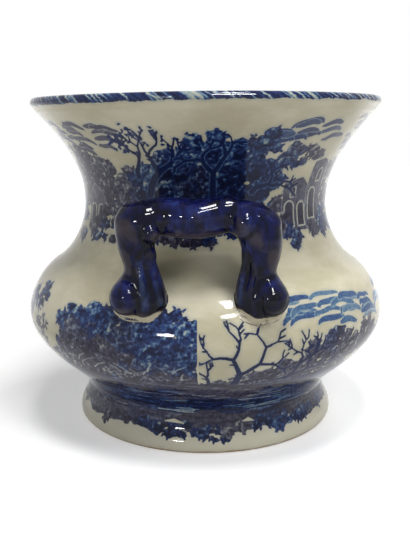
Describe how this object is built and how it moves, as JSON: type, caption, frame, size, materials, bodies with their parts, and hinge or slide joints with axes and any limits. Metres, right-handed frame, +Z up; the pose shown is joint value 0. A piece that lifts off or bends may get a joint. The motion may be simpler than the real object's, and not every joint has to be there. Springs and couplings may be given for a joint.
{
  "type": "two-handled vase",
  "caption": "Footed round-bellied ceramic vase with a wide flaring mouth and a branch-shaped handle luted to the shoulder on each side.",
  "frame": {"origin": "middle of the ring that the foot stands on, at floor level", "axes": "+Z up along the axis the body was turned about; the handles stand on the -Y and +Y sides; X runs across the handles"},
  "size_m": [0.2732, 0.2732, 0.2435],
  "materials": {
    "printed_glaze": "glossy clear glaze over a cream body with a blue landscape print",
    "cobalt_glaze": "glossy cobalt blue glaze, thinner and grey-brown on the ridges",
    "slip_glaze": "glossy clear glaze over bare cream slip"
  },
  "bodies": {
    "root": {"vase_body": "printed_glaze", "front_handle": "cobalt_glaze", "front_slip_left": "slip_glaze", "front_slip_right": "slip_glaze", "rear_handle": "cobalt_glaze", "rear_slip_left": "slip_glaze", "rear_slip_right": "slip_glaze"}
  },
  "joints": []
}
